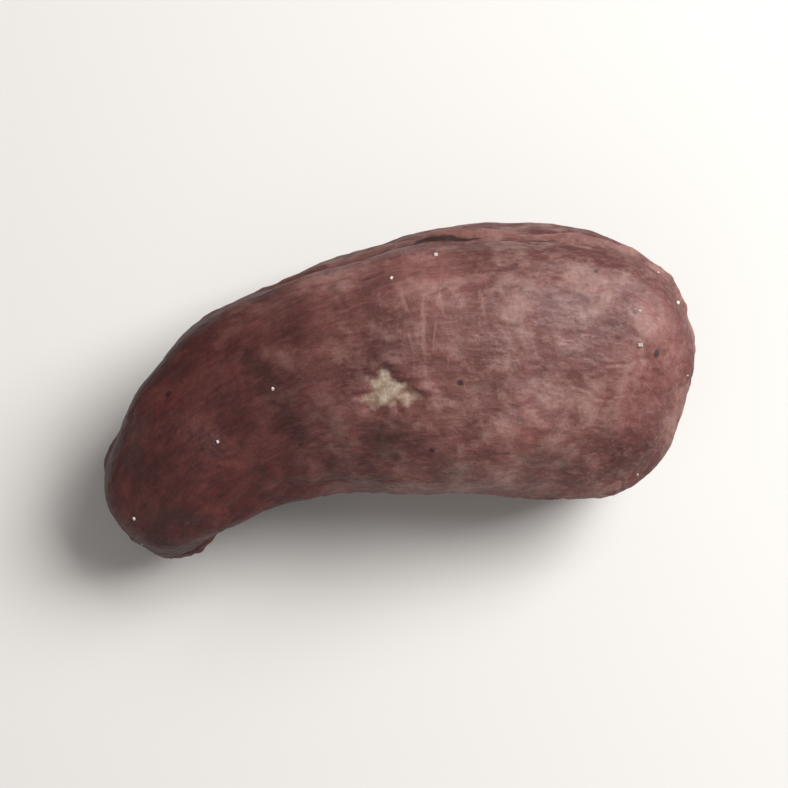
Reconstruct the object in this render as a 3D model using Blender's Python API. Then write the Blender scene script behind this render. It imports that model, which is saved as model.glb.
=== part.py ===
"""A roasted cashew nut in its skin, lying on its flank.

The nut is one solid in metres, +Z up. Its long axis lies along X with the thin end at -X, its
convex back faces +Y, its hollow belly faces -Y, and the origin is at the middle of its bounding
box's underside.
"""

import math
import random

import bmesh
import bpy
import numpy as np
from mathutils import Matrix, Vector

MM = 0.001

# The bent middle line: nearly straight in the fat end, turning ever more towards the thin one.
SPINE_LENGTH = 28.6 * MM
SPINE_TURN = math.radians(81)
SPINE_STEPS = 240

# The section across the middle line grows from the thin end to the fat one.
BREADTH_THIN = 11.0 * MM
BREADTH_FAT = 17.0 * MM
BREADTH_GROWTH = 2.7
THICKNESS_THIN = 8.9 * MM
THICKNESS_FAT = 11.5 * MM
SHOULDER_FROM = -0.62
SHOULDER_TO = 0.12
THIN_END_ROUNDING = 2.4
FAT_END_ROUNDING = 2.8
SECTION_ROUNDING = 2.25
BELLY_SHARE_THIN = 0.82
BELLY_SHARE_FAT = 1.0
TWIST = math.radians(-9)

# How it lies: rolled back on its flank, its thin end let down, on a small flat foot.
ROLL = math.radians(20)
PITCH = math.radians(-5.8)
FOOT_DEPTH = 0.20 * MM

# The seam runs round the edge of the nut's two halves: a furrow with a rib of skin in it. On the
# back it wanders to one side along the fat end.
SEAM_WANDER = math.radians(11)
WANDER_FROM = -0.35
WANDER_TO = 0.45
SEAM_STEPS = 600
BELLY_FROM = -0.3
BELLY_TO = 0.5
BACK_FURROW_DEPTH = 0.55 * MM
BACK_FURROW_REACH = 2.1 * MM
BELLY_FURROW_DEPTH = 0.90 * MM
BELLY_FURROW_REACH = 2.4 * MM
RIB_HEIGHT = 0.42 * MM
RIB_REACH = 0.68 * MM

# Long folds of skin beside the seam, each one fainter than the one before.
FOLD_DEPTH = 0.11 * MM
FOLD_PITCH = 1.7 * MM
FOLD_REACH = 5.2 * MM

# Where the fat half meets the thin one the flank has a soft saddle, crossed by short wrinkles.
SADDLE_PLACE = -0.40
SADDLE_REACH = 0.28
SADDLE_DEPTH = 0.34 * MM
FLANK_FROM = 0.25
FLANK_TO = 0.9
WRINKLE_DEPTH = 0.05 * MM
WRINKLE_REACH = 0.56
WRINKLE_COUNT = 13
WRINKLE_SLANT = 1.5
WRINKLE_WAVES = 3

# The germ's tip pushes the skin out as a nib, on the belly side of the thin end.
NIB_DOWN = math.radians(163)
NIB_HEIGHT = 0.6 * MM
NIB_REACH = 3.3 * MM

# Uneven growth: waves that cross the nut in all directions, from broad swells to small lumps.
SWELL_COUNT = 14
SWELL_SEED = 28
LONGEST_SWELL = 15.0 * MM
SHORTEST_SWELL = 3.4 * MM
SWELL_STEEPNESS = 0.0085

# Places where the skin has flaked off the kernel: how far down from the fat end and how far round
# from the seam on the back, both as angles, then half the length and half the width. Their ragged
# outline has lobes: how many go round, how far they reach as a share of the patch, and their phase.
SKIN_THICKNESS = 0.20 * MM
FLAKE_EDGE = 0.36 * MM
FLAKE_STEP = 0.3
FLAKE_LOBES = ((3, 0.20, 1.0), (7, 0.09, 0.0))
FLAKES = (
    (math.radians(89), math.radians(91), 1.30 * MM, 0.98 * MM),
    (math.radians(138), math.radians(-62), 2.60 * MM, 1.70 * MM),
    (math.radians(40), math.radians(238), 2.40 * MM, 1.50 * MM),
)

# The mesh starts as a cube blown up to a globe, with so many cells along each side. Its equator
# becomes the seam, which the cells are drawn towards, and its poles the middles of the flanks.
CELLS = 30
SEAM_PULL = 0.30
MIDDLE_PULL = 0.22

SKIN_COLOUR = (0.190, 0.092, 0.081, 1.0)
SKIN_ROUGHNESS = 0.55


def smooth_step(low, high, value):
    """From 0 at low to 1 at high, level at both."""
    share = min(1.0, max(0.0, (value - low) / (high - low)))
    return share * share * (3 - 2 * share)


def hump(distance, reach):
    """1 at no distance, falling away softly to 0 at this reach."""
    return 1 - smooth_step(0, reach, abs(distance))


def superellipse(angle, rounding):
    """The point of a unit superellipse that is seen at this angle from its middle."""
    cosine, sine = math.cos(angle), math.sin(angle)
    reach = (abs(cosine) ** rounding + abs(sine) ** rounding) ** (-1 / rounding)
    return reach * cosine, reach * sine


def spine_line():
    """The middle line with its two ends level on X, and its heading at each step."""
    along = np.linspace(-1, 1, SPINE_STEPS + 1)
    heading = SPINE_TURN * ((1 - along) / 2) ** 2
    step = SPINE_LENGTH / SPINE_STEPS
    x = np.concatenate([[0], np.cumsum(np.cos(heading[1:]) * step)])
    y = np.concatenate([[0], np.cumsum(np.sin(heading[1:]) * step)])
    chord = math.atan2(y[-1], x[-1])
    level_x = x * math.cos(chord) + y * math.sin(chord)
    level_y = y * math.cos(chord) - x * math.sin(chord)
    return along, level_x, level_y, heading - chord


def seam_angle(along):
    """How far round from the middle of the back the seam lies."""
    return SEAM_WANDER * smooth_step(WANDER_FROM, WANDER_TO, along)


class Place:
    """A place on the plain nut, before any relief: so far along it and so far round it."""

    def __init__(self, along, taper, angle, spine):
        self.along = along
        self.taper = taper
        self.angle = angle
        across, up = superellipse(angle, SECTION_ROUNDING)
        share = (along + 1) / 2
        breadth = BREADTH_THIN + (BREADTH_FAT - BREADTH_THIN) * share**BREADTH_GROWTH
        if across < 0:
            breadth *= BELLY_SHARE_THIN + (BELLY_SHARE_FAT - BELLY_SHARE_THIN) * share
        swell = smooth_step(SHOULDER_FROM, SHOULDER_TO, along)
        thickness = THICKNESS_THIN + (THICKNESS_FAT - THICKNESS_THIN) * swell
        reach = breadth / 2 * taper * across
        height = thickness / 2 * taper * up
        twist = TWIST * (1 - share)
        reach, height = (
            reach * math.cos(twist) - height * math.sin(twist),
            reach * math.sin(twist) + height * math.cos(twist),
        )
        stations, x, y, heading = spine
        turn = float(np.interp(along, stations, heading))
        self.point = Vector(
            (
                float(np.interp(along, stations, x)) - reach * math.sin(turn),
                float(np.interp(along, stations, y)) + reach * math.cos(turn),
                height,
            )
        )


def station(down):
    """How far along the nut, from -1 to 1, and how far out its section has tapered there."""
    along, taper = superellipse(down, FAT_END_ROUNDING if down < math.pi / 2 else THIN_END_ROUNDING)
    return along, max(taper, 0.0)


def place_at(down, angle, spine):
    """The place so far down from the fat end and so far round from the seam on the back."""
    along, taper = station(down)
    return Place(along, taper, angle + seam_angle(along) * (1 + math.cos(angle)) / 2, spine)


def seam_line(spine):
    """The seam as a closed ring of points, and how far each one counts as lying on the belly."""
    turns = [2 * math.pi * step / SEAM_STEPS for step in range(SEAM_STEPS)]
    back = [place_at(turn, 0.0, spine).point for turn in turns if turn <= math.pi]
    belly = [place_at(2 * math.pi - turn, math.pi, spine).point for turn in turns if turn > math.pi]
    shares = [smooth_step(BELLY_FROM, BELLY_TO, -math.sin(turn)) for turn in turns]
    return np.array(back + belly), shares


def seam_relief(place, seam):
    """The furrow, the rib in it and the folds beside it."""
    points, belly_shares = seam
    distances = np.linalg.norm(points - np.array(place.point), axis=1)
    nearest = int(distances.argmin())
    off_seam = float(distances[nearest])
    belly = belly_shares[nearest]
    depth = BACK_FURROW_DEPTH + (BELLY_FURROW_DEPTH - BACK_FURROW_DEPTH) * belly
    reach = BACK_FURROW_REACH + (BELLY_FURROW_REACH - BACK_FURROW_REACH) * belly
    valley = hump(off_seam, reach)
    rib = RIB_HEIGHT * hump(off_seam, RIB_REACH)
    fold = math.cos(2 * math.pi * off_seam / FOLD_PITCH) * hump(off_seam, FOLD_REACH)
    return rib - depth * valley - FOLD_DEPTH * fold * (1 - valley)


def saddle_relief(place):
    """The hollow across the flank and the short wrinkles in it."""
    flank = smooth_step(FLANK_FROM, FLANK_TO, abs(math.sin(place.angle))) * place.taper
    from_saddle = place.along - SADDLE_PLACE
    slant = WRINKLE_SLANT * math.sin(WRINKLE_WAVES * place.angle)
    ripple = math.cos(WRINKLE_COUNT * math.pi * place.along + slant)
    hollow = SADDLE_DEPTH * hump(from_saddle, SADDLE_REACH)
    return flank * (WRINKLE_DEPTH * ripple * hump(from_saddle, WRINKLE_REACH) - hollow)


def nib_relief(place, nib):
    """The bulge over the tip of the germ."""
    return NIB_HEIGHT * hump((place.point - nib).length, NIB_REACH)


def growth_swells():
    """Each swell's direction of travel with its wave number, its phase and its height."""
    draw = random.Random(SWELL_SEED)
    swells = []
    for index in range(SWELL_COUNT):
        length = LONGEST_SWELL * (SHORTEST_SWELL / LONGEST_SWELL) ** (index / (SWELL_COUNT - 1))
        heading = Vector([draw.gauss(0, 1) for _ in range(3)]).normalized()
        phase = draw.uniform(0, 2 * math.pi)
        swells.append((heading * 2 * math.pi / length, phase, SWELL_STEEPNESS * length))
    return swells


def growth_relief(place, swells):
    """Uneven growth."""
    return sum(height * math.sin(place.point.dot(wave) + phase) for wave, phase, height in swells)


class Flake:
    """A ragged patch of bare kernel, one skin's thickness down."""

    def __init__(self, down, angle, half_length, half_width, spine):
        self.half_length = half_length
        self.half_width = half_width
        self.middle = place_at(down, angle, spine).point
        self.ahead = (place_at(down - FLAKE_STEP, angle, spine).point - self.middle).normalized()
        aside = place_at(down, angle + FLAKE_STEP, spine).point - self.middle
        self.aside = (aside - self.ahead * aside.dot(self.ahead)).normalized()

    def depth_at(self, point):
        offset = point - self.middle
        if offset.length > 2 * self.half_length:
            return 0.0
        u = offset.dot(self.ahead) / self.half_length
        v = offset.dot(self.aside) / self.half_width
        bearing = math.atan2(v, u)
        lobes = [share * math.sin(count * bearing + phase) for count, share, phase in FLAKE_LOBES]
        inside = (1 + sum(lobes) - math.hypot(u, v)) * self.half_width
        return SKIN_THICKNESS * smooth_step(-FLAKE_EDGE, FLAKE_EDGE, inside)


def blow_up_cube(bm):
    """Makes a globe of even square cells, with no point where many of them meet."""
    bmesh.ops.create_cube(bm, size=2.0)
    bmesh.ops.subdivide_edges(bm, edges=bm.edges[:], cuts=CELLS - 1, use_grid_fill=True)
    for vert in bm.verts:
        vert.co = Vector([math.tan(side * math.pi / 4) for side in vert.co]).normalized()


def plain_places(bm, spine):
    """Moves the globe's points to the plain nut and keeps each one's place on it."""
    places = {}
    for vert in bm.verts:
        east = math.atan2(vert.co.y, vert.co.x)
        north = math.asin(max(-1.0, min(1.0, vert.co.z)))
        north -= SEAM_PULL / 2 * math.sin(2 * north)
        along, back = math.cos(north) * math.cos(east), math.cos(north) * math.sin(east)
        down = math.atan2(math.hypot(back, math.sin(north)), along)
        down += MIDDLE_PULL / 2 * math.sin(2 * down)
        places[vert] = place_at(down, math.atan2(math.sin(north), back), spine)
        vert.co = places[vert].point
    return places


def raise_relief(bm, places, spine):
    """Moves every point in or out along its normal."""
    seam = seam_line(spine)
    nib = place_at(NIB_DOWN, math.pi, spine).point
    swells = growth_swells()
    flakes = [Flake(*sizes, spine) for sizes in FLAKES]
    bm.normal_update()
    moves = {}
    for vert, place in places.items():
        height = seam_relief(place, seam) + saddle_relief(place)
        height += nib_relief(place, nib) + growth_relief(place, swells)
        height -= max(flake.depth_at(place.point) for flake in flakes)
        moves[vert] = vert.normal * height
    for vert, move in moves.items():
        vert.co += move


def lay_down(bm):
    """Rolls the nut on its flank and cuts the small flat foot that it rests on."""
    lie = Matrix.Rotation(PITCH, 4, "Y") @ Matrix.Rotation(ROLL, 4, "X")
    bmesh.ops.transform(bm, matrix=lie, verts=bm.verts)
    floor = min(vert.co.z for vert in bm.verts) + FOOT_DEPTH
    everything = bm.verts[:] + bm.edges[:] + bm.faces[:]
    bmesh.ops.bisect_plane(bm, geom=everything, plane_co=(0, 0, floor), plane_no=(0, 0, -1), clear_outer=True)
    bmesh.ops.edgeloop_fill(bm, edges=[edge for edge in bm.edges if edge.is_boundary])
    bmesh.ops.recalc_face_normals(bm, faces=bm.faces)
    corners = np.array([vert.co for vert in bm.verts])
    low, high = corners.min(axis=0), corners.max(axis=0)
    bmesh.ops.translate(bm, vec=(-(low[0] + high[0]) / 2, -(low[1] + high[1]) / 2, -low[2]), verts=bm.verts)


def nut_mesh():
    """The nut's skin as one closed mesh."""
    mesh = bpy.data.meshes.new("cashew_nut")
    bm = bmesh.new()
    blow_up_cube(bm)
    spine = spine_line()
    places = plain_places(bm, spine)
    raise_relief(bm, places, spine)
    lay_down(bm)
    bm.to_mesh(mesh)
    bm.free()
    mesh.shade_smooth()
    return mesh


def roasted_skin():
    """Dry, dull, red-brown skin."""
    material = bpy.data.materials.new("roasted_skin")
    material.use_nodes = True
    shader = material.node_tree.nodes["Principled BSDF"]
    shader.inputs["Base Color"].default_value = SKIN_COLOUR
    shader.inputs["Roughness"].default_value = SKIN_ROUGHNESS
    shader.inputs["Metallic"].default_value = 0.0
    return material


def build():
    """Clears the scene and puts the nut in its own collection."""
    for old in list(bpy.data.objects):
        bpy.data.objects.remove(old)
    parts = bpy.data.collections.new("cashew")
    bpy.context.scene.collection.children.link(parts)
    mesh = nut_mesh()
    mesh.materials.append(roasted_skin())
    parts.objects.link(bpy.data.objects.new("cashew_nut", mesh))


build()
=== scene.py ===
import math
import random

import bpy
import numpy as np
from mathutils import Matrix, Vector


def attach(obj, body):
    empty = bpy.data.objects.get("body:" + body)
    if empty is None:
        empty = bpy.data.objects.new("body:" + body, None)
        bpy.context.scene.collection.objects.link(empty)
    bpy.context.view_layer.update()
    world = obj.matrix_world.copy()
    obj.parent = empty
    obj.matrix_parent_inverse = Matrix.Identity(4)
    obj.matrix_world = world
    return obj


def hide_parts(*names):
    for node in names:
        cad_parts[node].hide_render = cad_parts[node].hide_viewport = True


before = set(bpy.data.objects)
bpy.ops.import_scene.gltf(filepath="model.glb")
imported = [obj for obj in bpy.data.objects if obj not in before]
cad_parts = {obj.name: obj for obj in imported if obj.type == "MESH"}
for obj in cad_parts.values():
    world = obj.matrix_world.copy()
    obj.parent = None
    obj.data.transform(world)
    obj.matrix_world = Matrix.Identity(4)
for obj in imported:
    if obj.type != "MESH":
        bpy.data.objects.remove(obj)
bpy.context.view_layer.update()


# The nut. A cashew kernel roasted in its skin: two halves bent like a kidney, wrapped in a papery
# red-brown skin that has dried on to them. The skin is drawn into a furrow where the halves meet,
# with a rib in it, and has chipped off the kernel in small patches.

MM = 0.001

# The bent middle line and the section across it, from the thin end to the fat one.
SPINE_LENGTH = 28.6 * MM
SPINE_TURN = math.radians(81)
SPINE_STEPS = 240
BREADTH_THIN, BREADTH_FAT, BREADTH_GROWTH = 11.0 * MM, 17.0 * MM, 2.7
THICKNESS_THIN, THICKNESS_FAT = 8.9 * MM, 11.5 * MM
SHOULDER_FROM, SHOULDER_TO = -0.62, 0.12
BELLY_SHARE_THIN, BELLY_SHARE_FAT = 0.82, 1.0
TWIST = math.radians(-9)
SEAM_WANDER, WANDER_FROM, WANDER_TO = math.radians(11), -0.35, 0.45

# The nib over the tip of the germ, on the belly: how far down it is from the fat end.
NIB_DOWN = math.radians(163)

# Swells of uneven growth that cross the nut in all directions.
SWELL_COUNT, SWELL_SEED = 14, 28
LONGEST_SWELL, SHORTEST_SWELL = 15.0 * MM, 3.4 * MM
SWELL_STEEPNESS = 0.0085

# Patches of bare kernel: how far down from the fat end and how far round from the seam on the
# back, both as angles, then half the length and half the width.
FLAKES = (
    (math.radians(89), math.radians(91), 1.30 * MM, 0.98 * MM),
    (math.radians(138), math.radians(-62), 2.60 * MM, 1.70 * MM),
    (math.radians(40), math.radians(238), 2.40 * MM, 1.50 * MM),
)

# How far off a patch's middle, as an angle, its ways ahead and aside are read. Then the waves that
# make its edge ragged: how many go round it, how deep they are as shares, and where they start.
FLAKE_STEP = 0.3
FLAKE_LOBES = ((3, 0.20, 1.0), (7, 0.09, 0.0), (11, 0.06, 2.0))
SKIN_THICKNESS, FLAKE_EDGE = 0.20 * MM, 0.30 * MM

# Sizes that the nut's node tree takes as named inputs. The saddle and the wrinkles are placed along
# the nut, from -1 at the thin end to 1 at the fat one. The belly's furrow comes in from -1 at the
# back to 1 at the belly, and the flank from 0 at the seam to 1 at the flank's middle.
NUT_SIZES = {
    "Fat end rounding": 2.8,
    "Thin end rounding": 2.4,
    "Section rounding": 2.25,
    "Back furrow depth": 0.55 * MM,
    "Back furrow reach": 2.1 * MM,
    "Belly furrow depth": 0.90 * MM,
    "Belly furrow reach": 2.4 * MM,
    "Belly from": -0.3,
    "Belly to": 0.5,
    "Rib height": 0.42 * MM,
    "Rib reach": 0.68 * MM,
    "Rib unevenness": 2.1,
    "Rib patch length": 2.222 * MM,
    "Fold depth": 0.11 * MM,
    "Fold pitch": 1.7 * MM,
    "Fold reach": 5.2 * MM,
    "Flank from": 0.25,
    "Flank to": 0.9,
    "Saddle place": -0.40,
    "Saddle depth": 0.34 * MM,
    "Saddle reach": 0.28,
    "Wrinkle depth": 0.05 * MM,
    "Wrinkle reach": 0.56,
    "Wrinkle count": 13,
    "Wrinkle slant": 1.5,
    "Wrinkle waves": 3,
    "Nib height": 0.6 * MM,
    "Nib reach": 3.3 * MM,
    "Fibre depth": 0.08 * MM,
    "Fibre width": 0.6667 * MM,
    "Crease depth": 0.055 * MM,
    "Crease spacing": 1.818 * MM,
    "Crease length": 3.03 * MM,
    "Bend length": 2.0 * MM,
    "Lump depth": 0.26 * MM,
    "Lump width": 1.333 * MM,
    "Relief where bare": 0.15,
    "Pit depth": 0.10 * MM,
    "Pit size": 0.16 * MM,
    "Pit pitch": 2.381 * MM,
    "Rim lift": 0.03 * MM,
    "Rim place": 0.35 * MM,
    "Rim reach": 0.45 * MM,
    "Roll": math.radians(20),
    "Pitch": math.radians(-5.8),
    "Foot depth": 0.20 * MM,
}
NUT_CELLS = 128

# The grain of the skin is measured in millimetres: along the nut, and round a girth of this
# radius. The middles of the scrapes and of the scorched blotch are places in it. Some patterns are
# squeezed in it, so that they show drawn out along the nut or across it, and creases are bent.
GIRTH_RADIUS = 6.4
SCRAPES = (2.5, 3.2, 5.5)
BLOTCH = (-0.25, -2.95, 5.65)
FIBRE_SQUEEZE, CREASE_SQUEEZE = (0.22, 1.0, 1.0), (0.4, 1.0, 1.0)
STRAND_SQUEEZE, SCRAPE_SQUEEZE = (0.30, 1.0, 1.0), (1.0, 0.16, 0.16)
CREASE_BEND = (1.6, 1.6, 1.6)

# How far off the globe's equator an edge may lie and still be one of the seam's.
ON_SEAM = 0.001

MATH, VECTOR, RANGE = "ShaderNodeMath", "ShaderNodeVectorMath", "ShaderNodeMapRange"
NOISE, VORONOI, MIX = "ShaderNodeTexNoise", "ShaderNodeTexVoronoi", "ShaderNodeMix"
JOIN, SPLIT = "ShaderNodeCombineXYZ", "ShaderNodeSeparateXYZ"
SET_POSITION, NAMED = "GeometryNodeSetPosition", "GeometryNodeInputNamedAttribute"
STORE = "GeometryNodeStoreNamedAttribute"


def add(tree, kind, links=(), **settings):
    """Adds one node with its settings, and fills its inputs, listed in order or by name."""
    node = tree.nodes.new(kind)
    for setting, value in settings.items():
        setattr(node, setting, value)
    pairs = links.items() if isinstance(links, dict) else enumerate(links)
    for socket, value in pairs:
        if value is None:
            continue
        source = value.outputs[0] if isinstance(value, bpy.types.Node) else value
        if isinstance(source, bpy.types.NodeSocket):
            tree.links.new(source, node.inputs[socket])
        else:
            node.inputs[socket].default_value = source
    return node


def smooth_step(low, high, values):
    """How far the values have risen from low to high, as an eased share from 0 to 1."""
    share = np.clip((values - low) / (high - low), 0, 1)
    return share * share * (3 - 2 * share)


def spine_sections():
    """The middle line's points, and the sizes of the section across it at each."""
    along = np.linspace(-1, 1, SPINE_STEPS + 1)
    share = (along + 1) / 2
    heading = SPINE_TURN * (1 - share) ** 2
    step = SPINE_LENGTH / SPINE_STEPS
    x = np.concatenate([[0], np.cumsum(np.cos(heading[1:]) * step)])
    y = np.concatenate([[0], np.cumsum(np.sin(heading[1:]) * step)])
    chord = math.atan2(y[-1], x[-1])
    level_x = x * math.cos(chord) + y * math.sin(chord)
    level_y = y * math.cos(chord) - x * math.sin(chord)
    back = (BREADTH_THIN + (BREADTH_FAT - BREADTH_THIN) * share**BREADTH_GROWTH) / 2
    shoulder = smooth_step(SHOULDER_FROM, SHOULDER_TO, along)
    sections = {
        "back_reach": back,
        "belly_reach": back * (BELLY_SHARE_THIN + (BELLY_SHARE_FAT - BELLY_SHARE_THIN) * share),
        "half_thickness": (THICKNESS_THIN + (THICKNESS_FAT - THICKNESS_THIN) * shoulder) / 2,
        "twist": TWIST * (1 - share),
        "heading": heading - chord,
        "seam_turn": SEAM_WANDER * smooth_step(WANDER_FROM, WANDER_TO, along),
    }
    return along, level_x, level_y, sections


def superellipse_point(angle, rounding):
    """The point of a unit superellipse that is seen at this angle from its middle."""
    cosine, sine = math.cos(angle), math.sin(angle)
    reach = (abs(cosine) ** rounding + abs(sine) ** rounding) ** (-1 / rounding)
    return reach * cosine, reach * sine


def place_on_nut(down, angle):
    """The plain nut's point so far down from the fat end and so far round from the back's seam."""
    end = "Fat end rounding" if down < math.pi / 2 else "Thin end rounding"
    along, taper = superellipse_point(down, NUT_SIZES[end])
    stations, level_x, level_y, sections = spine_sections()
    there = {name: float(np.interp(along, stations, values)) for name, values in sections.items()}
    angle += there["seam_turn"] * (1 + math.cos(angle)) / 2
    across, up = superellipse_point(angle, NUT_SIZES["Section rounding"])
    reach = there["belly_reach" if across < 0 else "back_reach"] * taper * across
    height = there["half_thickness"] * taper * up
    twist, heading = there["twist"], there["heading"]
    aside = reach * math.cos(twist) - height * math.sin(twist)
    lift = reach * math.sin(twist) + height * math.cos(twist)
    middle_x, middle_y = np.interp(along, stations, level_x), np.interp(along, stations, level_y)
    return Vector((middle_x - aside * math.sin(heading), middle_y + aside * math.cos(heading), lift))


def patch_on_nut(down, angle):
    """The middle of a patch of bare kernel, and the ways ahead and aside from there."""
    middle = place_on_nut(down, angle)
    ahead = (place_on_nut(down - FLAKE_STEP, angle) - middle).normalized()
    aside = place_on_nut(down, angle + FLAKE_STEP) - middle
    return middle, ahead, (aside - ahead * aside.dot(ahead)).normalized()


def spine_object():
    """The middle line as a chain of points that hold the sizes of the sections."""
    along, level_x, level_y, sections = spine_sections()
    mesh = bpy.data.meshes.new("spine")
    points = np.c_[level_x, level_y, np.zeros(len(along))]
    mesh.from_pydata(points.tolist(), [(i, i + 1) for i in range(SPINE_STEPS)], [])
    for name, values in sections.items():
        mesh.attributes.new(name, "FLOAT", "POINT").data.foreach_set("value", values.astype(np.float32))
    spine = bpy.data.objects.new("spine", mesh)
    bpy.context.scene.collection.objects.link(spine)
    return spine, list(sections)


def superellipse_group():
    """Turns a direction, given as cosine and sine, into the point of a unit superellipse there."""
    group = bpy.data.node_groups.new("superellipse", "GeometryNodeTree")
    for name in ("Cosine", "Sine", "Rounding"):
        group.interface.new_socket(name, in_out="INPUT", socket_type="NodeSocketFloat")
    for name in ("Ahead", "Aside"):
        group.interface.new_socket(name, in_out="OUTPUT", socket_type="NodeSocketFloat")
    given = add(group, "NodeGroupInput").outputs
    powers = []
    for side in ("Cosine", "Sine"):
        size = add(group, MATH, [given[side]], operation="ABSOLUTE")
        powers.append(add(group, MATH, [size, given["Rounding"]], operation="POWER"))
    total = add(group, MATH, powers, operation="ADD")
    root = add(group, MATH, [-1.0, given["Rounding"]], operation="DIVIDE")
    reach = add(group, MATH, [total, root], operation="POWER")
    ahead = add(group, MATH, [given["Cosine"], reach], operation="MULTIPLY")
    aside = add(group, MATH, [given["Sine"], reach], operation="MULTIPLY")
    add(group, "NodeGroupOutput", [ahead, aside])
    return group


def blown_up_cube(tree, size, position):
    """A cube blown up to a globe: its equator becomes the seam, its poles the flanks' middles."""
    corners = add(tree, MATH, [size["Cells"], 1], operation="ADD")
    cube = add(tree, "GeometryNodeMeshCube", [(2, 2, 2), corners, corners, corners])
    quarter = add(tree, VECTOR, [position, (math.pi / 4,) * 3], operation="MULTIPLY")
    bulged = add(tree, VECTOR, [quarter], operation="TANGENT")
    unit = add(tree, VECTOR, [bulged], operation="NORMALIZE")
    globe = add(tree, STORE, {"Geometry": cube, "Name": "globe", "Value": unit}, data_type="FLOAT_VECTOR")
    on_globe = add(tree, NAMED, ["globe"], data_type="FLOAT_VECTOR")
    return globe, add(tree, SPLIT, [on_globe]).outputs


def station_along(tree, size, superellipse, on_globe):
    """How far along the nut a point of the globe goes, and how far its section has tapered there."""
    off_axis = add(tree, JOIN, [0.0, on_globe[1], on_globe[2]])
    off_axis = add(tree, VECTOR, [off_axis], operation="LENGTH").outputs["Value"]
    fat_side = add(tree, MATH, [on_globe[0], 0.0], operation="GREATER_THAN")
    rounding = add(tree, MIX, [fat_side, None, size["Thin end rounding"], size["Fat end rounding"]])
    station = add(
        tree, "GeometryNodeGroup",
        {"Cosine": on_globe[0], "Sine": off_axis, "Rounding": rounding}, node_tree=superellipse,
    )
    return station.outputs["Ahead"], station.outputs["Aside"]


def sections_there(tree, size, along, sections):
    """The middle line's place and its section's sizes at a station."""
    share = add(tree, MATH, [along, 0.5, 0.5], operation="MULTIPLY_ADD")
    line = add(tree, "GeometryNodeMeshToCurve", [size["Geometry"]])
    there = {}
    for name in sections:
        value = add(tree, NAMED, [name], data_type="FLOAT")
        there[name] = add(tree, "GeometryNodeSampleCurve", {"Curves": line, "Value": value, "Factor": share})
    return there


def angle_round(tree, on_globe, there):
    """How far round the section a point lies, from the back's seam, which wanders off the middle."""
    angle = add(tree, MATH, [on_globe[2], on_globe[1]], operation="ARCTAN2")
    backward = add(tree, MATH, [angle], operation="COSINE")
    backward = add(tree, MATH, [backward, 0.5, 0.5], operation="MULTIPLY_ADD")
    return add(tree, MATH, [there["seam_turn"], backward, angle], operation="MULTIPLY_ADD")


def place_on_section(tree, size, superellipse, there, turn, taper):
    """The point's place on the plain nut: its section's outline, tapered, twisted and headed."""
    section = add(
        tree, "GeometryNodeGroup",
        {"Cosine": turn[0], "Sine": turn[1], "Rounding": size["Section rounding"]},
        node_tree=superellipse,
    )
    on_back = add(tree, MATH, [section.outputs["Ahead"], 0.0], operation="GREATER_THAN")
    reach = add(tree, MIX, [on_back, None, there["belly_reach"].outputs[0], there["back_reach"].outputs[0]])
    across = add(tree, MATH, [reach, section.outputs["Ahead"]], operation="MULTIPLY")
    up = add(tree, MATH, [there["half_thickness"], section.outputs["Aside"]], operation="MULTIPLY")
    place = add(tree, JOIN, [0.0, across, up])
    place = add(tree, VECTOR, {0: place, "Scale": taper}, operation="SCALE")
    for turned, axis in (("twist", "X_AXIS"), ("heading", "Z_AXIS")):
        place = add(
            tree, "ShaderNodeVectorRotate",
            {"Vector": place, "Angle": there[turned]}, rotation_type=axis,
        )
    return add(tree, VECTOR, [there["heading"].outputs["Position"], place], operation="ADD")


def grain_of_skin(tree, along, turn, taper):
    """Millimetres along the nut and round it, which the fibres of the skin follow."""
    girth = add(tree, JOIN, [0.0, turn[0], turn[1]])
    girth = add(tree, VECTOR, {0: girth, "Scale": taper}, operation="SCALE")
    girth = add(tree, VECTOR, {0: girth, "Scale": GIRTH_RADIUS}, operation="SCALE")
    lengthwise = add(tree, JOIN, [along])
    lengthwise = add(tree, VECTOR, {0: lengthwise, "Scale": SPINE_LENGTH / MM / 2}, operation="SCALE")
    return add(tree, VECTOR, [lengthwise, girth], operation="ADD")


def distance_to_seam(tree, plain, on_globe):
    """How far from the seam a point of the plain nut lies."""
    ridge = add(tree, MATH, [on_globe[2], 0.0, ON_SEAM], operation="COMPARE")
    seam = add(tree, "GeometryNodeSeparateGeometry", [plain, ridge], domain="EDGE")
    near = add(tree, "GeometryNodeProximity", [seam.outputs["Selection"]], target_element="EDGES")
    return near.outputs["Distance"]


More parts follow.
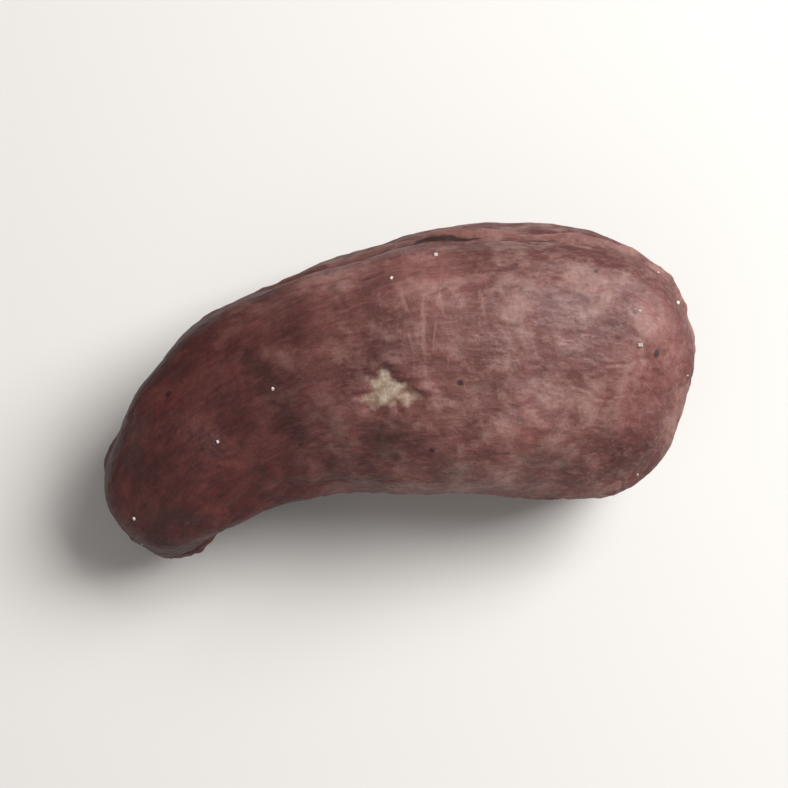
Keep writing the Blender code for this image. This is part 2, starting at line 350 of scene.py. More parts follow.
def seam_relief(tree, size, on_globe, off_seam, grain):
    """A furrow, deeper on the belly, with an uneven rib in it and folds of skin beside it."""
    belly_side = add(tree, MATH, [on_globe[1], -1.0], operation="MULTIPLY")
    belly = add(
        tree, RANGE, [belly_side, size["Belly from"], size["Belly to"], 0.0, 1.0],
        interpolation_type="SMOOTHSTEP",
    )
    depth = add(tree, MIX, [belly, None, size["Back furrow depth"], size["Belly furrow depth"]])
    width = add(tree, MIX, [belly, None, size["Back furrow reach"], size["Belly furrow reach"]])
    valley = add(tree, RANGE, [off_seam, 0.0, width, 1.0, 0.0], interpolation_type="SMOOTHSTEP")
    per_mm = add(tree, MATH, [MM, size["Rib patch length"]], operation="DIVIDE")
    patchy = add(tree, NOISE, {"Vector": grain, "Scale": per_mm, "Detail": 3.0})
    patchy = add(tree, MATH, [patchy, 0.5], operation="SUBTRACT")
    patchy = add(tree, MATH, [patchy, size["Rib unevenness"], 1.0], operation="MULTIPLY_ADD")
    rib_height = add(tree, MATH, [patchy, size["Rib height"]], operation="MULTIPLY")
    rib = add(
        tree, RANGE, [off_seam, 0.0, size["Rib reach"], rib_height, 0.0], interpolation_type="SMOOTHSTEP",
    )
    turns = add(tree, MATH, [off_seam, size["Fold pitch"]], operation="DIVIDE")
    turns = add(tree, MATH, [turns, 2 * math.pi], operation="MULTIPLY")
    fold = add(tree, MATH, [turns], operation="COSINE")
    fade = add(
        tree, RANGE, [off_seam, 0.0, size["Fold reach"], size["Fold depth"], 0.0],
        interpolation_type="SMOOTHSTEP",
    )
    outside = add(tree, MATH, [1.0, valley], operation="SUBTRACT")
    fold = add(tree, MATH, [fold, fade], operation="MULTIPLY")
    fold = add(tree, MATH, [fold, outside], operation="MULTIPLY")
    height = add(tree, MATH, [rib, fold], operation="SUBTRACT")
    furrow = add(tree, MATH, [valley, depth], operation="MULTIPLY")
    return add(tree, MATH, [height, furrow], operation="SUBTRACT")


def saddle_relief(tree, size, along, taper, angle, sine):
    """The saddle across the flank where the fat half meets the thin one, and its low wrinkles."""
    flat_on = add(tree, MATH, [sine], operation="ABSOLUTE")
    flank = add(
        tree, RANGE, [flat_on, size["Flank from"], size["Flank to"], 0.0, 1.0],
        interpolation_type="SMOOTHSTEP",
    )
    flank = add(tree, MATH, [flank, taper], operation="MULTIPLY")
    off_saddle = add(tree, MATH, [along, size["Saddle place"]], operation="SUBTRACT")
    off_saddle = add(tree, MATH, [off_saddle], operation="ABSOLUTE")
    hollow = add(
        tree, RANGE, [off_saddle, 0.0, size["Saddle reach"], size["Saddle depth"], 0.0],
        interpolation_type="SMOOTHSTEP",
    )
    deep = add(
        tree, RANGE, [off_saddle, 0.0, size["Wrinkle reach"], size["Wrinkle depth"], 0.0],
        interpolation_type="SMOOTHSTEP",
    )
    slant = add(tree, MATH, [angle, size["Wrinkle waves"]], operation="MULTIPLY")
    slant = add(tree, MATH, [slant], operation="SINE")
    slant = add(tree, MATH, [slant, size["Wrinkle slant"]], operation="MULTIPLY")
    ripple = add(tree, MATH, [size["Wrinkle count"], math.pi], operation="MULTIPLY")
    ripple = add(tree, MATH, [ripple, along, slant], operation="MULTIPLY_ADD")
    ripple = add(tree, MATH, [ripple], operation="COSINE")
    ripple = add(tree, MATH, [ripple, deep], operation="MULTIPLY")
    ripple = add(tree, MATH, [ripple, hollow], operation="SUBTRACT")
    return add(tree, MATH, [ripple, flank], operation="MULTIPLY")


def nib_relief(tree, size, position):
    """The small nib that the tip of the germ raises."""
    nib = place_on_nut(NIB_DOWN, math.pi)
    off_nib = add(tree, VECTOR, [position, nib], operation="DISTANCE")
    return add(
        tree, RANGE, [off_nib.outputs["Value"], 0.0, size["Nib reach"], size["Nib height"], 0.0],
        interpolation_type="SMOOTHSTEP",
    )


def growth_swells(tree, position):
    """The swells, as one sum of sine waves that cross the nut."""
    draw = random.Random(SWELL_SEED)
    total = 0.0
    for index in range(SWELL_COUNT):
        length = LONGEST_SWELL * (SHORTEST_SWELL / LONGEST_SWELL) ** (index / (SWELL_COUNT - 1))
        heading = Vector([draw.gauss(0, 1) for _ in range(3)]).normalized()
        phase = draw.uniform(0, 2 * math.pi)
        wave = add(tree, VECTOR, [position, heading * 2 * math.pi / length], operation="DOT_PRODUCT")
        turned = add(tree, MATH, [wave.outputs["Value"], phase], operation="ADD")
        crest = add(tree, MATH, [turned], operation="SINE")
        total = add(tree, MATH, [crest, SWELL_STEEPNESS * length, total], operation="MULTIPLY_ADD")
    return total


def flake_insides(tree, position):
    """How far inside a chipped patch a point lies, in metres, for the nearest patch."""
    deepest = -1.0
    for down, angle, half_length, half_width in FLAKES:
        middle, ahead, aside = patch_on_nut(down, angle)
        offset = add(tree, VECTOR, [position, middle], operation="SUBTRACT")
        parts = []
        for way, size in ((ahead, half_length), (aside, half_width), (ahead.cross(aside), half_width)):
            dot = add(tree, VECTOR, [offset, way / size], operation="DOT_PRODUCT")
            parts.append(dot.outputs["Value"])
        local = add(tree, JOIN, parts)
        bearing = add(tree, MATH, [parts[1], parts[0]], operation="ARCTAN2")
        ragged = 1.0
        for count, share, phase in FLAKE_LOBES:
            turned = add(tree, MATH, [bearing, count, phase], operation="MULTIPLY_ADD")
            lobe = add(tree, MATH, [turned], operation="SINE")
            ragged = add(tree, MATH, [lobe, share, ragged], operation="MULTIPLY_ADD")
        length = add(tree, VECTOR, [local], operation="LENGTH")
        inside = add(tree, MATH, [ragged, length.outputs["Value"]], operation="SUBTRACT")
        inside = add(tree, MATH, [inside, half_width], operation="MULTIPLY")
        deepest = add(tree, MATH, [inside, deepest], operation="MAXIMUM")
    return deepest


def creases_and_pits(tree, size, grain):
    """Broken creases between lengthwise cells of skin, and small pits, as depths in metres."""
    per_mm = {
        name: add(tree, MATH, [MM, size[name]], operation="DIVIDE")
        for name in ("Bend length", "Crease spacing", "Crease length", "Pit pitch")
    }
    bent = add(tree, NOISE, {"Vector": grain, "Scale": per_mm["Bend length"], "Detail": 2.0})
    bent = add(tree, VECTOR, [bent.outputs["Color"], CREASE_BEND, grain], operation="MULTIPLY_ADD")
    bent = add(tree, VECTOR, [bent, CREASE_SQUEEZE], operation="MULTIPLY")
    spacing = {"Vector": bent, "Scale": per_mm["Crease spacing"]}
    creases = add(tree, VORONOI, spacing, feature="DISTANCE_TO_EDGE")
    creases = add(tree, RANGE, [creases, 0.0, 0.06, 1.0, 0.0], interpolation_type="SMOOTHSTEP")
    broken = add(tree, NOISE, {"Vector": grain, "Scale": per_mm["Crease length"], "Detail": 3.0})
    broken = add(tree, RANGE, [broken, 0.45, 0.60, 0.0, size["Crease depth"]])
    creases = add(tree, MATH, [creases, broken], operation="MULTIPLY")
    pits = add(tree, VORONOI, {"Vector": grain, "Scale": per_mm["Pit pitch"], "Randomness": 1.0})
    pits = add(tree, MATH, [pits, size["Pit pitch"]], operation="MULTIPLY")
    pits = add(
        tree, RANGE, [pits, 0.0, size["Pit size"], size["Pit depth"], 0.0], interpolation_type="SMOOTHSTEP",
    )
    return add(tree, MATH, [creases, pits], operation="ADD")


def fine_relief(tree, size):
    """The skin's own relief on the formed nut, in metres: fibres along it, lumps, creases, pits and
    the lifted rim of each chipped patch."""
    inside = add(tree, NAMED, ["inside_flake"], data_type="FLOAT")
    grain = add(tree, NAMED, ["grain"], data_type="FLOAT_VECTOR")
    covered = add(tree, RANGE, [inside, -FLAKE_EDGE, FLAKE_EDGE, 1.0, size["Relief where bare"]])
    per_mm = add(tree, MATH, [MM, size["Fibre width"]], operation="DIVIDE")
    fibres = add(tree, VECTOR, [grain, FIBRE_SQUEEZE], operation="MULTIPLY")
    fibres = add(tree, NOISE, {"Vector": fibres, "Scale": per_mm, "Detail": 4.0, "Distortion": 0.5})
    fibres = add(tree, MATH, [fibres, 0.5], operation="SUBTRACT")
    fine = add(tree, MATH, [fibres, size["Fibre depth"]], operation="MULTIPLY")
    per_mm = add(tree, MATH, [MM, size["Lump width"]], operation="DIVIDE")
    lumps = add(tree, NOISE, {"Vector": grain, "Scale": per_mm, "Detail": 4.0, "Roughness": 0.6})
    lumps = add(tree, MATH, [lumps, 0.5], operation="SUBTRACT")
    fine = add(tree, MATH, [lumps, size["Lump depth"], fine], operation="MULTIPLY_ADD")
    fine = add(tree, MATH, [fine, creases_and_pits(tree, size, grain)], operation="SUBTRACT")
    rim = add(tree, MATH, [inside, size["Rim place"]], operation="ADD")
    rim = add(tree, MATH, [rim], operation="ABSOLUTE")
    rim = add(
        tree, RANGE, [rim, 0.0, size["Rim reach"], size["Rim lift"], 0.0], interpolation_type="SMOOTHSTEP",
    )
    return add(tree, MATH, [fine, covered, rim], operation="MULTIPLY_ADD")


def laid_on_flank(tree, size, position, nut):
    """The nut rolled on its flank, pressed flat where it rests, its foot's level at zero height."""
    lie = add(tree, JOIN, [size["Roll"], size["Pitch"], 0.0])
    laid = add(tree, "GeometryNodeTransform", {"Geometry": nut, "Rotation": lie})
    extent = add(tree, "GeometryNodeBoundBox", [laid])
    low = add(tree, SPLIT, [extent.outputs["Min"]])
    floor = add(tree, MATH, [low.outputs[2], size["Foot depth"]], operation="ADD")
    spot = add(tree, SPLIT, [position])
    resting = add(tree, MATH, [spot.outputs[2], floor], operation="MAXIMUM")
    resting = add(tree, JOIN, [spot.outputs[0], spot.outputs[1], resting])
    footed = add(tree, SET_POSITION, {"Geometry": laid, "Position": resting})
    centre = add(tree, VECTOR, [extent.outputs["Min"], extent.outputs["Max"]], operation="ADD")
    centre = add(tree, VECTOR, [centre, (-0.5, -0.5, 0.0)], operation="MULTIPLY")
    sunk = add(tree, MATH, [floor, -1.0], operation="MULTIPLY")
    shift = add(tree, VECTOR, [centre, add(tree, JOIN, [0.0, 0.0, sunk])], operation="ADD")
    return add(tree, "GeometryNodeTransform", {"Geometry": footed, "Translation": shift})


def nut_tree(material, sections):
    """The rule that the whole nut follows, from its middle line to its laid-down skin."""
    tree = bpy.data.node_groups.new("grow nut", "GeometryNodeTree")
    tree.interface.new_socket("Geometry", in_out="INPUT", socket_type="NodeSocketGeometry")
    tree.interface.new_socket("Geometry", in_out="OUTPUT", socket_type="NodeSocketGeometry")
    tree.interface.new_socket("Cells", in_out="INPUT", socket_type="NodeSocketInt")
    for name in NUT_SIZES:
        tree.interface.new_socket(name, in_out="INPUT", socket_type="NodeSocketFloat")
    size = add(tree, "NodeGroupInput").outputs
    position = add(tree, "GeometryNodeInputPosition")
    normal = add(tree, "GeometryNodeInputNormal")
    superellipse = superellipse_group()

    # The plain nut, and the grain of its skin.
    globe, on_globe = blown_up_cube(tree, size, position)
    along, taper = station_along(tree, size, superellipse, on_globe)
    there = sections_there(tree, size, along, sections)
    angle = angle_round(tree, on_globe, there)
    turn = [add(tree, MATH, [angle], operation=way) for way in ("COSINE", "SINE")]
    place = place_on_section(tree, size, superellipse, there, turn, taper)
    plain = add(tree, SET_POSITION, {"Geometry": globe, "Position": place})
    grain = grain_of_skin(tree, along, turn, taper)
    plain = add(tree, STORE, {"Geometry": plain, "Name": "grain", "Value": grain}, data_type="FLOAT_VECTOR")

    # Its relief, and what the material reads: where the kernel is bare and how far away the seam is.
    off_seam = distance_to_seam(tree, plain, on_globe)
    height = seam_relief(tree, size, on_globe, off_seam, grain)
    saddle = saddle_relief(tree, size, along, taper, angle, turn[1])
    for more in (saddle, nib_relief(tree, size, position), growth_swells(tree, position)):
        height = add(tree, MATH, [height, more], operation="ADD")
    inside = flake_insides(tree, position)
    bare = add(tree, RANGE, [inside, -FLAKE_EDGE, FLAKE_EDGE, 0.0, 1.0], interpolation_type="SMOOTHSTEP")
    height = add(tree, MATH, [bare, -SKIN_THICKNESS, height], operation="MULTIPLY_ADD")
    marked = add(tree, STORE, {"Geometry": plain, "Name": "inside_flake", "Value": inside})
    marked = add(tree, STORE, {"Geometry": marked, "Name": "off_seam", "Value": off_seam})
    move = add(tree, VECTOR, {0: normal, "Scale": height}, operation="SCALE")
    formed = add(tree, SET_POSITION, {"Geometry": marked, "Offset": move})

    # The skin's fine relief, and the nut laid down.
    fine = fine_relief(tree, size)
    move = add(tree, VECTOR, {0: normal, "Scale": fine}, operation="SCALE")
    detailed = add(tree, STORE, {"Geometry": formed, "Name": "fine_relief", "Value": fine})
    detailed = add(tree, SET_POSITION, {"Geometry": detailed, "Offset": move})
    laid = laid_on_flank(tree, size, position, detailed)
    smooth = add(tree, "GeometryNodeSetShadeSmooth", {"Geometry": laid, "Shade Smooth": True})
    whole = add(tree, "GeometryNodeRealizeInstances", [smooth])
    skinned = add(tree, "GeometryNodeSetMaterial", {"Geometry": whole, "Material": material})
    add(tree, "NodeGroupOutput", [skinned])
    return tree


def linear(colour):
    """An sRGB hex colour as linear red, green, blue and full cover."""
    parts = [int(colour[i:i + 2], 16) / 255 for i in (1, 3, 5)]
    return [p / 12.92 if p <= 0.04045 else ((p + 0.055) / 1.055) ** 2.4 for p in parts] + [1.0]


# The patterns on the skin and the kernel, by the width of one of their spots in millimetres, from
# which each one's scale is worked out.
MOTTLING, STRANDS, DUST, STAINS = 3.333, 0.2222, 1.613, 0.5
BLOTCH_EDGE, SCORCHED_PITS, PIT_GROUPS = 0.625, 1.613, 2.5
RIB_WEAR, SLIT_WANDER, SLITS = 1.25, 2.0, 5.882
SCRAPE_WIDTH, SKIN_SCRAPS, GRIT = 0.4167, 0.4545, 0.2


def skin_with_shaded_furrows(tree, grain, off_seam):
    """Broad mottling, a few millimetres across, under a darker red along the furrows that is partly the
    skin's own deeper red and partly painted shade in the hollow.
    """
    mottle = add(tree, NOISE, {"Vector": grain, "Scale": 1 / MOTTLING, "Detail": 6.0, "Roughness": 0.65})
    tone = add(tree, RANGE, [mottle, 0.34, 0.66, 0.0, 1.0])
    skin = add(tree, MIX, {0: tone, 6: linear("#4e2623"), 7: linear("#7d4b45")}, data_type="RGBA")
    # Painted shade, partly: a dark red band along the seam's furrow, darker than the skin's own red there,
    # stands in for the shade in the hollow.
    furrow = add(tree, MATH, [off_seam, -1.45 * MM], operation="ADD")
    furrow = add(tree, MATH, [furrow], operation="ABSOLUTE")
    furrow = add(tree, RANGE, [furrow, 0.5 * MM, 1.6 * MM, 0.9, 0.0], interpolation_type="SMOOTHSTEP")
    skin = add(tree, MIX, {0: furrow, 6: skin.outputs[2], 7: linear("#4f1b18")}, data_type="RGBA")
    return skin, mottle


def fibres_and_dust(tree, skin, grain):
    """Fibres a tenth of a millimetre wide along the nut, drawn a little coarser so that they show,
    and rubbed, dusty patches of pinkish grey that break up into specks."""
    strands = add(tree, VECTOR, [grain, STRAND_SQUEEZE], operation="MULTIPLY")
    strands = add(
        tree, NOISE,
        {"Vector": strands, "Scale": 1 / STRANDS, "Detail": 6.0, "Roughness": 0.75, "Distortion": 0.8},
    )
    pale = add(tree, RANGE, [strands, 0.50, 0.75, 0.0, 0.5])
    skin = add(tree, MIX, {0: pale, 6: skin.outputs[2], 7: linear("#9c746e")}, data_type="RGBA")
    dark = add(tree, RANGE, [strands, 0.30, 0.48, 0.45, 0.0])
    skin = add(tree, MIX, {0: dark, 6: skin.outputs[2], 7: linear("#381916")}, data_type="RGBA")
    dust = add(tree, NOISE, {"Vector": grain, "Scale": 1 / DUST, "Detail": 9.0, "Roughness": 0.74})
    dust = add(tree, RANGE, [dust, 0.50, 0.66, 0.0, 0.62])
    skin = add(tree, MIX, {0: dust, 6: skin.outputs[2], 7: linear("#98776f")}, data_type="RGBA")
    return skin, strands


def pits_wear_and_painted_shade(tree, skin, grain, relief):
    """Small scorched pits where the skin blistered, and one blotch below the middle bare patch.
    Sunk lines are darkened with painted shade, and raised ones are rubbed pale."""
    ragged = add(tree, NOISE, {"Vector": grain, "Scale": 1 / BLOTCH_EDGE, "Detail": 5.0})
    blotch = add(tree, VECTOR, [grain, BLOTCH], operation="DISTANCE")
    blotch = add(tree, MATH, [blotch.outputs["Value"], ragged], operation="MULTIPLY")
    blotch = add(tree, RANGE, [blotch, 0.12, 0.70, 0.80, 0.0], interpolation_type="SMOOTHSTEP")
    skin = add(tree, MIX, {0: blotch, 6: skin.outputs[2], 7: linear("#3c1813")}, data_type="RGBA")
    pits = add(tree, VORONOI, {"Vector": grain, "Scale": 1 / SCORCHED_PITS})
    some = add(tree, NOISE, {"Vector": grain, "Scale": 1 / PIT_GROUPS, "Detail": 2.0})
    some = add(tree, RANGE, [some, 0.42, 0.60, 0.03, 0.12])
    pits = add(tree, MATH, [pits, some], operation="DIVIDE")
    pits = add(tree, RANGE, [pits, 0.5, 1.0, 0.85, 0.0])
    skin = add(tree, MIX, {0: pits, 6: skin.outputs[2], 7: linear("#250f0d")}, data_type="RGBA")
    # Painted shade: where the fine relief is sunk, the skin is darkened as shade in the hollow.
    sunk = add(tree, RANGE, [relief, -0.12 * MM, -0.03 * MM, 0.6, 0.0])
    skin = add(tree, MIX, {0: sunk, 6: skin.outputs[2], 7: linear("#341916")}, data_type="RGBA")
    worn = add(tree, RANGE, [relief, 0.02 * MM, 0.10 * MM, 0.0, 0.35])
    return add(tree, MIX, {0: worn, 6: skin.outputs[2], 7: linear("#97746e")}, data_type="RGBA")


def rib_and_slits(tree, skin, grain, off_seam):
    """The rib is rubbed pale in places. Where the halves shrank apart, the skin split beside it in
    short dark slits."""
    rubbed = add(tree, NOISE, {"Vector": grain, "Scale": 1 / RIB_WEAR, "Detail": 7.0, "Roughness": 0.7})
    rubbed = add(tree, RANGE, [rubbed, 0.40, 0.62, 0.05, 0.65])
    rib = add(tree, RANGE, [off_seam, 0.10 * MM, 0.50 * MM, rubbed, 0.0])
    skin = add(tree, MIX, {0: rib, 6: skin.outputs[2], 7: linear("#91665b")}, data_type="RGBA")
    wander = add(tree, NOISE, {"Vector": grain, "Scale": 1 / SLIT_WANDER, "Detail": 3.0})
    wander = add(tree, RANGE, [wander, 0.3, 0.7, -0.75 * MM, -0.35 * MM])
    off_slit = add(tree, MATH, [off_seam, wander], operation="ADD")
    off_slit = add(tree, MATH, [off_slit], operation="ABSOLUTE")
    slits = add(tree, NOISE, {"Vector": grain, "Scale": 1 / SLITS, "Detail": 5.0, "Roughness": 0.6})
    slits = add(tree, RANGE, [slits, 0.50, 0.58, 0.001 * MM, 0.11 * MM])
    slits = add(tree, MATH, [off_slit, slits], operation="DIVIDE")
    slits = add(tree, RANGE, [slits, 0.5, 1.2, 0.9, 0.0])
    return add(tree, MIX, {0: slits, 6: skin.outputs[2], 7: linear("#1d0a08")}, data_type="RGBA")


def scrapes_scorch_and_painted_shade(tree, skin, grain, mottle):
    """A few pale scrapes across the flank, and the thin end darker and redder, partly scorched in the roast
    and partly painted shade.
    """
    from_scrapes = add(tree, VECTOR, [grain, SCRAPES], operation="DISTANCE")
    fade = add(tree, RANGE, [from_scrapes.outputs["Value"], 1.0, 4.5, 0.32, 0.0])
    scrapes = add(tree, VECTOR, [grain, SCRAPE_SQUEEZE], operation="MULTIPLY")
    scrapes = add(
        tree, NOISE, {"Vector": scrapes, "Scale": 1 / SCRAPE_WIDTH, "Detail": 4.0, "Distortion": 0.9},
    )
    scrapes = add(tree, RANGE, [scrapes, 0.56, 0.64, 0.0, 1.0])
    scrapes = add(tree, MATH, [scrapes, fade], operation="MULTIPLY")
    skin = add(tree, MIX, {0: scrapes, 6: skin.outputs[2], 7: linear("#a48074")}, data_type="RGBA")
    lengthwise = add(tree, SPLIT, [grain])
    # Painted shade, partly: the skin is tinted darker and redder towards the thin end, on top of its scorch.
    scorch_and_painted_shade = add(tree, MATH, [mottle, 8.0, lengthwise], operation="MULTIPLY_ADD")
    scorch_and_painted_shade = add(tree, RANGE, [scorch_and_painted_shade, -4.0, 7.0, 1.0, 0.0], interpolation_type="SMOOTHSTEP")
    tinge = {0: scorch_and_painted_shade, 6: skin.outputs[2], 7: linear("#ae7471")}
    return add(tree, MIX, tinge, data_type="RGBA", blend_type="MULTIPLY")


def bare_kernel(tree, skin, grain, inside_flake):
    """Bare kernel, cream to tan, with scraps of skin left at its edge."""
    scraps = add(tree, NOISE, {"Vector": grain, "Scale": 1 / SKIN_SCRAPS, "Detail": 4.0})
    scraps = add(tree, RANGE, [scraps, 0.3, 0.7, -0.24 * MM, 0.24 * MM])
    edge = add(tree, MATH, [inside_flake, scraps], operation="ADD")
    bare = add(tree, RANGE, [edge, 0.05 * MM, 0.55 * MM, 0.0, 0.95])
    stain = add(tree, NOISE, {"Vector": grain, "Scale": 1 / STAINS, "Detail": 6.0, "Roughness": 0.7})
    stain = add(tree, RANGE, [stain, 0.35, 0.65, 0.0, 1.0])
    flesh = add(tree, MIX, {0: stain, 6: linear("#846450"), 7: linear("#c0b09c")}, data_type="RGBA")
    return add(tree, MIX, {0: bare, 6: skin.outputs[2], 7: flesh.outputs[2]}, data_type="RGBA")


def papery_testa():
    """Roasted testa: a dry, dull, red-brown paper of lengthwise fibres, darker where it is sunk (painted
    shade) or scorched (partly painted shade), paler where it is rubbed, chipped off a cream to tan kernel."""
    material = bpy.data.materials.new("roasted_cashew_testa")
    material.use_nodes = True
    tree = material.node_tree
    tree.nodes.clear()
    read = {
        name: add(tree, "ShaderNodeAttribute", attribute_name=name).outputs
        for name in ("grain", "inside_flake", "off_seam", "fine_relief")
    }
    grain, off_seam = read["grain"]["Vector"], read["off_seam"]["Fac"]
    skin, mottle = skin_with_shaded_furrows(tree, grain, off_seam)
    skin, strands = fibres_and_dust(tree, skin, grain)
    skin = pits_wear_and_painted_shade(tree, skin, grain, read["fine_relief"]["Fac"])
    skin = rib_and_slits(tree, skin, grain, off_seam)
    skin = scrapes_scorch_and_painted_shade(tree, skin, grain, mottle)
    skin = bare_kernel(tree, skin, grain, read["inside_flake"]["Fac"])

    # Pale strands are smoother than the paper between them, and a fine grit lies over both.
    rough = add(tree, RANGE, [strands, 0.3, 0.7, 0.64, 0.48])
    place = add(tree, "ShaderNodeTexCoord").outputs["Object"]
    grit = add(tree, NOISE, {"Vector": place, "Scale": 1 / (GRIT * MM), "Detail": 3.0})
    relief = add(tree, MATH, [strands, 1.0, grit], operation="MULTIPLY_ADD")
    bump = add(tree, "ShaderNodeBump", {"Height": relief, "Strength": 0.5, "Distance": 0.05 * MM})
    shader = add(
        tree, "ShaderNodeBsdfPrincipled",
        {"Base Color": skin.outputs[2], "Roughness": rough, "Normal": bump, "IOR": 1.48},
    )
    add(tree, "ShaderNodeOutputMaterial", {"Surface": shader})
    return material


def grow(start, rule, sizes, name):
    """Runs a node tree on an object with its sizes, and keeps what it grows as a plain mesh."""
    growing = start.modifiers.new(rule.name, "NODES")
    growing.node_group = rule
    for item in rule.interface.items_tree:
        if item.in_out == "INPUT" and item.name in sizes:
            growing[item.identifier] = sizes[item.name]
    start.update_tag()
    bpy.context.view_layer.update()
    seen = bpy.context.evaluated_depsgraph_get()
    mesh = bpy.data.meshes.new_from_object(
        start.evaluated_get(seen), preserve_all_data_layers=True, depsgraph=seen,
    )
    grown = bpy.data.objects.new(name, mesh)
    bpy.context.scene.collection.objects.link(grown)
    start.modifiers.clear()
    bpy.data.objects.remove(start)
    return grown


spine, section_names = spine_object()
nut_sizes = {name: float(value) for name, value in NUT_SIZES.items()} | {"Cells": NUT_CELLS}
nut = grow(spine, nut_tree(papery_testa(), section_names), nut_sizes, "roasted_cashew")
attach(nut, "root")
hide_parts("cashew_nut")


# The salt. Fine grains that stuck to the skin when the nuts were salted after roasting: small
# broken cubes of rock salt, up to a third of a millimetre from corner to corner, sunk halfway
# into the skin.

SALT_SIZES = {"Grains per square metre": 24000.0, "Smallest": 0.08 * MM, "Largest": 0.19 * MM}
SALT_LEAST, SALT_MOST = (0.75, 0.75, 0.6), (1.25, 1.0, 1.0)
SALT_CLEARANCE = 0.5 * MM
SALT_CLOUDS = 0.1667 * MM
SALT_SEED = 5


def rock_salt():
    """Halite: clear to milky crystals with a glassy face, which read as white glints."""
    material = bpy.data.materials.new("rock_salt")
    material.use_nodes = True
    tree = material.node_tree
    tree.nodes.clear()
    place = add(tree, "ShaderNodeTexCoord").outputs["Object"]
    cloud = add(tree, NOISE, {"Vector": place, "Scale": 1 / SALT_CLOUDS})
    tint = add(tree, MIX, {0: cloud, 6: linear("#b4aaa2"), 7: linear("#e2dcd5")}, data_type="RGBA")
    shader = add(
        tree, "ShaderNodeBsdfPrincipled", {"Base Color": tint.outputs[2], "Roughness": 0.28, "IOR": 1.544},
    )
    add(tree, "ShaderNodeOutputMaterial", {"Surface": shader})
    return material


def salt_tree(material):
    """Scatters grains over the skin, clear of the foot, each turned and sized its own way."""
    tree = bpy.data.node_groups.new("scatter salt", "GeometryNodeTree")
    tree.interface.new_socket("Geometry", in_out="INPUT", socket_type="NodeSocketGeometry")
    tree.interface.new_socket("Geometry", in_out="OUTPUT", socket_type="NodeSocketGeometry")
    for name in SALT_SIZES:
        tree.interface.new_socket(name, in_out="INPUT", socket_type="NodeSocketFloat")
    size = add(tree, "NodeGroupInput").outputs
    height = add(tree, SPLIT, [add(tree, "GeometryNodeInputPosition")]).outputs[2]
    clear = add(tree, MATH, [height, SALT_CLEARANCE], operation="GREATER_THAN")
    spots = add(
        tree, "GeometryNodeDistributePointsOnFaces",
        {"Mesh": size["Geometry"], "Selection": clear, "Density": size["Grains per square metre"],
         "Seed": SALT_SEED},
    )
    crystal = add(tree, "GeometryNodeMeshCube", [(1, 1, 1)])
    width = add(
        tree, "FunctionNodeRandomValue",
        {2: size["Smallest"], 3: size["Largest"], "Seed": SALT_SEED + 1}, data_type="FLOAT",
    )
    proportions = add(
        tree, "FunctionNodeRandomValue",
        {0: SALT_LEAST, 1: SALT_MOST, "Seed": SALT_SEED + 2}, data_type="FLOAT_VECTOR",
    )
    scale = add(tree, VECTOR, {0: proportions, "Scale": width.outputs[1]}, operation="SCALE")
    turn = add(
        tree, "FunctionNodeRandomValue",
        {0: (0, 0, 0), 1: (math.tau,) * 3, "Seed": SALT_SEED + 3}, data_type="FLOAT_VECTOR",
    )
    grains = add(
        tree, "GeometryNodeInstanceOnPoints",
        {"Points": spots, "Instance": crystal, "Rotation": turn, "Scale": scale},
    )
    whole = add(tree, "GeometryNodeRealizeInstances", [grains])
    salted = add(tree, "GeometryNodeSetMaterial", {"Geometry": whole, "Material": material})
    add(tree, "NodeGroupOutput", [salted])
    return tree


salted_skin = bpy.data.objects.new("salted_skin", nut.data)
bpy.context.scene.collection.objects.link(salted_skin)
salt = grow(salted_skin, salt_tree(rock_salt()), SALT_SIZES, "salt_grains")
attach(salt, "root")


# The studio. A pale matt table top, a soft sky all round and two large soft lamps: the key lamp on
# the right, as the light falls in the photograph, and a weak fill from the left.

FLOOR_REACH = 3.0
SKY_STRENGTH = 0.275
LAMPS = (
    ("key", (0.14, 0.03, 0.16), 0.13, 0.70),
    ("fill", (-0.16, -0.12, 0.16), 0.20, 0.08),
)

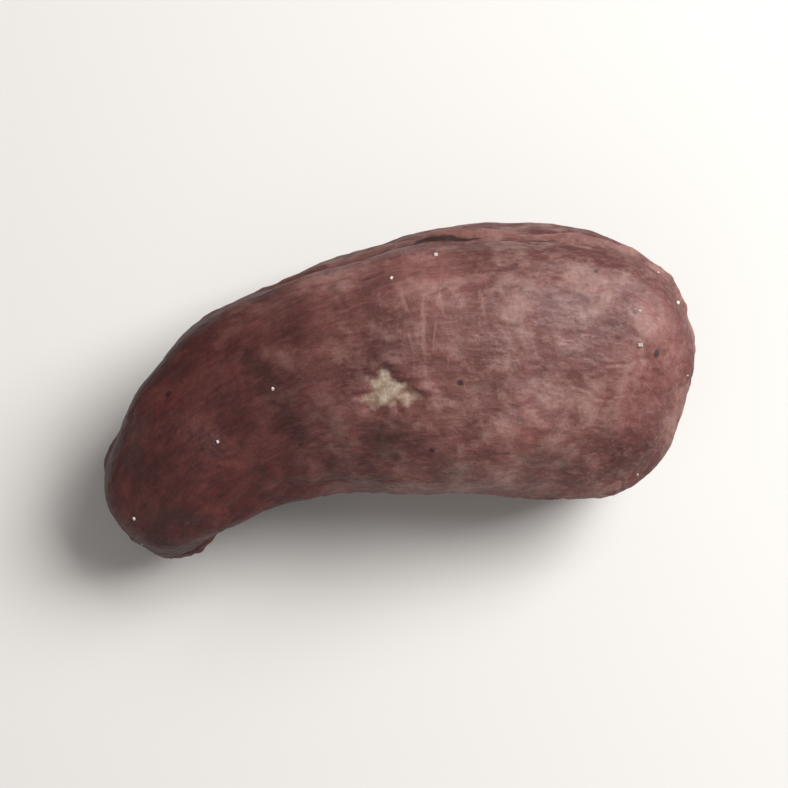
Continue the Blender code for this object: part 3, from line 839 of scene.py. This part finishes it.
floor_mesh = bpy.data.meshes.new("table_top")
corners = [(x * FLOOR_REACH, y * FLOOR_REACH, 0.0) for x, y in ((-1, -1), (1, -1), (1, 1), (-1, 1))]
floor_mesh.from_pydata(corners, [], [(0, 1, 2, 3)])
table_top = bpy.data.objects.new("table_top", floor_mesh)
bpy.context.scene.collection.objects.link(table_top)
matt_paper = bpy.data.materials.new("matt_paper")
matt_paper.use_nodes = True
matt_paper.node_tree.nodes["Principled BSDF"].inputs["Base Color"].default_value = linear("#d9d7d3")
matt_paper.node_tree.nodes["Principled BSDF"].inputs["Roughness"].default_value = 0.9
floor_mesh.materials.append(matt_paper)

sky = bpy.data.worlds.new("soft_sky")
sky.use_nodes = True
sky.node_tree.nodes["Background"].inputs["Color"].default_value = linear("#f0ebe8")
sky.node_tree.nodes["Background"].inputs["Strength"].default_value = SKY_STRENGTH
bpy.context.scene.world = sky

for name, place, width, watts in LAMPS:
    lamp = bpy.data.lights.new(name, "AREA")
    lamp.size = width
    lamp.energy = watts
    holder = bpy.data.objects.new(name, lamp)
    holder.location = place
    holder.rotation_euler = Vector(place).to_track_quat("Z", "Y").to_euler()
    bpy.context.scene.collection.objects.link(holder)


# The camera. It looks steeply down, as the photograph was taken, with the nut across the picture
# as it lies there.

AZIMUTH, ELEVATION = math.radians(-15), math.radians(80)
AIM, DISTANCE = Vector((0, 0, 5.5 * MM)), 86.5 * MM
FOCAL_LENGTH, NEAREST_SEEN = 85, 10 * MM

lens = bpy.data.cameras.new("camera")
lens.lens = FOCAL_LENGTH
lens.clip_start = NEAREST_SEEN
camera = bpy.data.objects.new("camera", lens)
bpy.context.scene.collection.objects.link(camera)
outward = Vector((
    math.sin(AZIMUTH) * math.cos(ELEVATION),
    -math.cos(AZIMUTH) * math.cos(ELEVATION),
    math.sin(ELEVATION),
))
camera.location = AIM + outward * DISTANCE
camera.rotation_euler = outward.to_track_quat("Z", "Y").to_euler()
bpy.context.scene.camera = camera
bpy.context.scene.view_settings.view_transform = "Standard"
